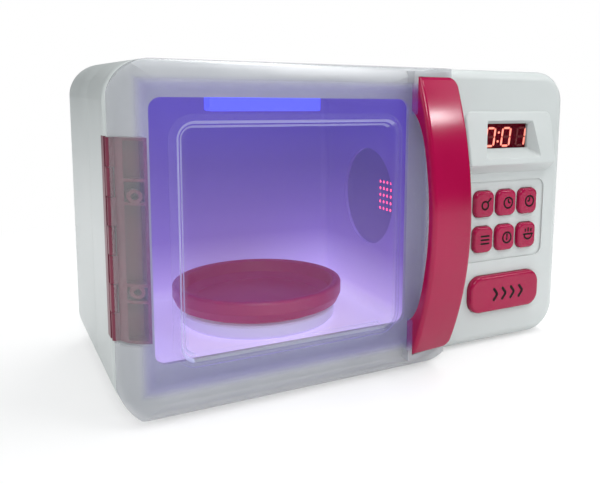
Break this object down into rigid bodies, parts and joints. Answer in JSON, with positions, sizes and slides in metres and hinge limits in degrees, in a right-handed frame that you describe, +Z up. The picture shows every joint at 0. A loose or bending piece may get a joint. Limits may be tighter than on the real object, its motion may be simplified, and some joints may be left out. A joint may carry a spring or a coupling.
{
  "type": "toy microwave",
  "caption": "Battery toy microwave: hinged see-through door with bow handle, lit cavity with turning plate, red digit display, keypad and wide door button.",
  "frame": {"origin": "middle of the box on the surface the feet stand on", "axes": "+Z up, +X to the right seen from the front, -Y out of the door"},
  "size_m": [0.29, 0.1798, 0.177],
  "materials": {
    "case_white": "satin white ABS",
    "door_frosted": "frosted translucent lavender polystyrene",
    "pane_clear": "polished clear polystyrene",
    "magenta": "glossy magenta ABS",
    "liner_white": "white semi-translucent ABS, lit from inside",
    "light_diffuser": "frosted lens, glows blue",
    "display_red": "dark red transparent lens",
    "display_black": "black display block",
    "board_green": "green circuit board",
    "rubber_grey": "soft grey silicone",
    "rubber_feet": "pale grey rubber",
    "steel": "zinc-plated steel",
    "gear_white": "natural acetal",
    "chassis_grey": "grey ABS",
    "motor_can": "plated steel can",
    "speaker_black": "black",
    "led_red": "red lamp body",
    "cell_jacket": "plain dark jacket",
    "nickel": "nickel-plated strip"
  },
  "bodies": {
    "case": {"front_shell": "case_white", "rear_shell": "case_white", "foot_front_left": "rubber_feet", "foot_front_right": "rubber_feet", "foot_rear_left": "rubber_feet", "foot_rear_right": "rubber_feet", "cavity_liner": "liner_white", "speaker_grille": "liner_white", "speaker": "speaker_black", "indicator_led": "led_red", "light_lens": "light_diffuser", "light_board": "board_green", "drive_motor": "motor_can", "gear_chassis": "chassis_grey", "gear_pins": "steel", "case_hinge_leaf": "magenta", "hinge_pin": "steel", "latch_bracket": "chassis_grey", "button_springs": "steel", "keypad_mat": "rubber_grey", "main_board": "board_green", "display_module": "display_black", "display_lens": "display_red", "battery_tray": "chassis_grey", "battery_cells": "cell_jacket", "battery_contacts": "nickel", "power_switch": "speaker_black", "case_screws": "steel"},
    "door": {"door_shell": "door_frosted", "door_window": "pane_clear", "door_hinge_leaf": "magenta", "door_handle": "magenta", "handle_screws": "steel", "latch_hook": "gear_white"},
    "turntable": {"turntable_gear": "gear_white", "turntable_base": "liner_white"},
    "plate": {"turntable_plate": "magenta"},
    "reduction": {"reduction_gear": "gear_white"},
    "pinion": {"motor_pinion": "gear_white"},
    "open_button": {"open_button": "magenta"},
    "latch_slider": {"latch_slider": "gear_white"},
    "battery_cover": {"battery_cover": "case_white", "cover_screw": "steel"},
    "power_knob": {"switch_knob": "speaker_black"},
    "key_1": {"key_1": "magenta"},
    "key_2": {"key_2": "magenta"},
    "key_3": {"key_3": "magenta"},
    "key_4": {"key_4": "magenta"},
    "key_5": {"key_5": "magenta"},
    "key_6": {"key_6": "magenta"}
  },
  "joints": [
    {"name": "door_swing", "type": "hinge", "parent": "case", "child": "door", "pos_m": [-0.1433, -0.0508, 0.0916], "axis": [0, 0, -1], "range_deg": [0, 115]},
    {"name": "turntable_spin", "type": "hinge", "parent": "case", "child": "turntable", "pos_m": [-0.051, 0.003, 0.012], "axis": [0, 0, 1], "continuous": true},
    {"name": "plate_lift", "type": "slide", "parent": "turntable", "child": "plate", "axis": [0, 0, 1], "range_m": [0, 0.06]},
    {"name": "reduction_spin", "type": "hinge", "parent": "case", "child": "reduction", "pos_m": [-0.005, 0.003, 0.012], "axis": [0, 0, 1], "continuous": true},
    {"name": "pinion_spin", "type": "hinge", "parent": "case", "child": "pinion", "pos_m": [0.034, 0.003, 0.012], "axis": [0, 0, 1], "continuous": true},
    {"name": "open_button_press", "type": "slide", "parent": "case", "child": "open_button", "axis": [0, 1, 0], "range_m": [0, 0.0035], "stiffness_N_per_m": 400, "springref_m": -0.001, "deforming": ["button_springs"]},
    {"name": "latch_slide", "type": "slide", "parent": "case", "child": "latch_slider", "axis": [1, 0, 0], "range_m": [0, 0.0035]},
    {"name": "battery_cover_lift", "type": "slide", "parent": "case", "child": "battery_cover", "axis": [0, 1, 0], "range_m": [0, 0.04]},
    {"name": "power_slide", "type": "slide", "parent": "case", "child": "power_knob", "axis": [1, 0, 0], "range_m": [0, 0.005]},
    {"name": "key_1_press", "type": "slide", "parent": "case", "child": "key_1", "axis": [0, 1, 0], "range_m": [0, 0.001], "stiffness_N_per_m": 600, "springref_m": -0.0005},
    {"name": "key_2_press", "type": "slide", "parent": "case", "child": "key_2", "axis": [0, 1, 0], "range_m": [0, 0.001], "stiffness_N_per_m": 600, "springref_m": -0.0005},
    {"name": "key_3_press", "type": "slide", "parent": "case", "child": "key_3", "axis": [0, 1, 0], "range_m": [0, 0.001], "stiffness_N_per_m": 600, "springref_m": -0.0005},
    {"name": "key_4_press", "type": "slide", "parent": "case", "child": "key_4", "axis": [0, 1, 0], "range_m": [0, 0.001], "stiffness_N_per_m": 600, "springref_m": -0.0005},
    {"name": "key_5_press", "type": "slide", "parent": "case", "child": "key_5", "axis": [0, 1, 0], "range_m": [0, 0.001], "stiffness_N_per_m": 600, "springref_m": -0.0005},
    {"name": "key_6_press", "type": "slide", "parent": "case", "child": "key_6", "axis": [0, 1, 0], "range_m": [0, 0.001], "stiffness_N_per_m": 600, "springref_m": -0.0005}
  ],
  "couplings": [
    {"joint": "reduction_spin", "follows": "turntable_spin", "ratio": -6.6667},
    {"joint": "pinion_spin", "follows": "turntable_spin", "ratio": 58.333},
    {"joint": "latch_slide", "follows": "open_button_press", "ratio": 1}
  ]
}
